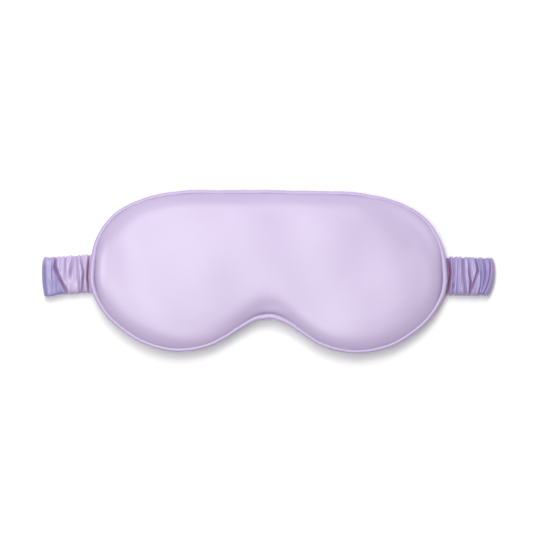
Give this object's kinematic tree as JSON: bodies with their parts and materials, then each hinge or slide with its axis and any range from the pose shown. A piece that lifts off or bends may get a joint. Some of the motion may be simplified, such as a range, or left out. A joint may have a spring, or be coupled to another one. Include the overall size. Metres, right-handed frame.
{
  "type": "sleep eye mask",
  "caption": "Padded satin sleep mask with piped edge and nose notch, on a gathered elastic strap that opens from flat behind it to a head loop.",
  "frame": {"origin": "on the surface that the strap lies on, under the middle of the outline", "axes": "+Z out of the front face, +Y towards the brow, +X to the right as seen from the front; the mask lies front face up with its strap folded flat behind it"},
  "size_m": [0.2748, 0.098, 0.0146],
  "materials": {
    "satin": "smooth lavender satin",
    "piping_satin": "bias-cut lavender satin",
    "sleeve_satin": "gathered lavender satin",
    "wadding": "white polyester wadding",
    "blackout": "matt black woven lining",
    "cotton": "twisted cotton cord",
    "elastic": "white braided elastic",
    "thread": "lavender sewing thread"
  },
  "bodies": {
    "strap_centre": {"strap_centre_sleeve": "sleeve_satin", "strap_centre_elastic": "elastic"},
    "left_run_1": {"left_strap_1_sleeve": "sleeve_satin", "left_strap_1_elastic": "elastic"},
    "left_run_2": {"left_strap_2_sleeve": "sleeve_satin", "left_strap_2_elastic": "elastic"},
    "left_run_3": {"left_strap_3_sleeve": "sleeve_satin", "left_strap_3_elastic": "elastic", "left_fold_sleeve": "sleeve_satin", "left_fold_elastic": "elastic"},
    "left_stub": {"left_stub_sleeve": "sleeve_satin", "left_stub_elastic": "elastic"},
    "mask": {"front_panel": "satin", "front_wadding": "wadding", "blackout_lining": "blackout", "back_wadding": "wadding", "back_panel": "satin", "piping_cover": "piping_satin", "piping_cord": "cotton", "perimeter_seam": "thread", "left_strap_end_sleeve": "sleeve_satin", "left_strap_end_elastic": "elastic", "left_bar_tack": "thread", "right_strap_end_sleeve": "sleeve_satin", "right_strap_end_elastic": "elastic", "right_bar_tack": "thread"},
    "right_run_1": {"right_strap_1_sleeve": "sleeve_satin", "right_strap_1_elastic": "elastic"},
    "right_run_2": {"right_strap_2_sleeve": "sleeve_satin", "right_strap_2_elastic": "elastic"},
    "right_run_3": {"right_strap_3_sleeve": "sleeve_satin", "right_strap_3_elastic": "elastic", "right_fold_sleeve": "sleeve_satin", "right_fold_elastic": "elastic"},
    "right_stub": {"right_stub_sleeve": "sleeve_satin", "right_stub_elastic": "elastic"}
  },
  "joints": [
    {"name": "left_bend_1", "type": "hinge", "parent": "strap_centre", "child": "left_run_1", "pos_m": [-0.036, -0.0022, 0.0033], "axis": [0, 1, 0], "range_deg": [0, 22.5]},
    {"name": "left_bend_2", "type": "hinge", "parent": "left_run_1", "child": "left_run_2", "pos_m": [-0.06853, -0.0022, 0.0033], "axis": [0, 1, 0], "range_deg": [0, 18]},
    {"name": "left_bend_3", "type": "hinge", "parent": "left_run_2", "child": "left_run_3", "pos_m": [-0.10107, -0.0022, 0.0033], "axis": [0, 1, 0], "range_deg": [0, 18]},
    {"name": "left_fold", "type": "hinge", "parent": "left_run_3", "child": "left_stub", "pos_m": [-0.1336, -0.0022, 0.0038], "axis": [0, -1, 0], "range_deg": [0, 148.5], "deforming": ["left_fold_sleeve", "left_fold_elastic"]},
    {"name": "left_seam", "type": "hinge", "parent": "left_stub", "child": "mask", "pos_m": [-0.1079, -0.0022, 0.0043], "axis": [0, 1, 0], "range_deg": [0, 90]},
    {"name": "right_bend_1", "type": "hinge", "parent": "strap_centre", "child": "right_run_1", "pos_m": [0.036, -0.0022, 0.0033], "axis": [0, -1, 0], "range_deg": [0, 22.5]},
    {"name": "right_bend_2", "type": "hinge", "parent": "right_run_1", "child": "right_run_2", "pos_m": [0.06853, -0.0022, 0.0033], "axis": [0, -1, 0], "range_deg": [0, 18]},
    {"name": "right_bend_3", "type": "hinge", "parent": "right_run_2", "child": "right_run_3", "pos_m": [0.10107, -0.0022, 0.0033], "axis": [0, -1, 0], "range_deg": [0, 18]},
    {"name": "right_fold", "type": "hinge", "parent": "right_run_3", "child": "right_stub", "pos_m": [0.1336, -0.0022, 0.0038], "axis": [0, 1, 0], "range_deg": [0, 148.5], "deforming": ["right_fold_sleeve", "right_fold_elastic"]}
  ],
  "couplings": [
    {"joint": "left_bend_2", "follows": "left_bend_1", "ratio": 0.8},
    {"joint": "left_bend_3", "follows": "left_bend_1", "ratio": 0.8},
    {"joint": "left_fold", "follows": "left_bend_1", "ratio": 6.6},
    {"joint": "left_seam", "follows": "left_bend_1", "ratio": 4},
    {"joint": "right_bend_1", "follows": "left_bend_1", "ratio": 1},
    {"joint": "right_bend_2", "follows": "left_bend_1", "ratio": 0.8},
    {"joint": "right_bend_3", "follows": "left_bend_1", "ratio": 0.8},
    {"joint": "right_fold", "follows": "left_bend_1", "ratio": 6.6}
  ]
}
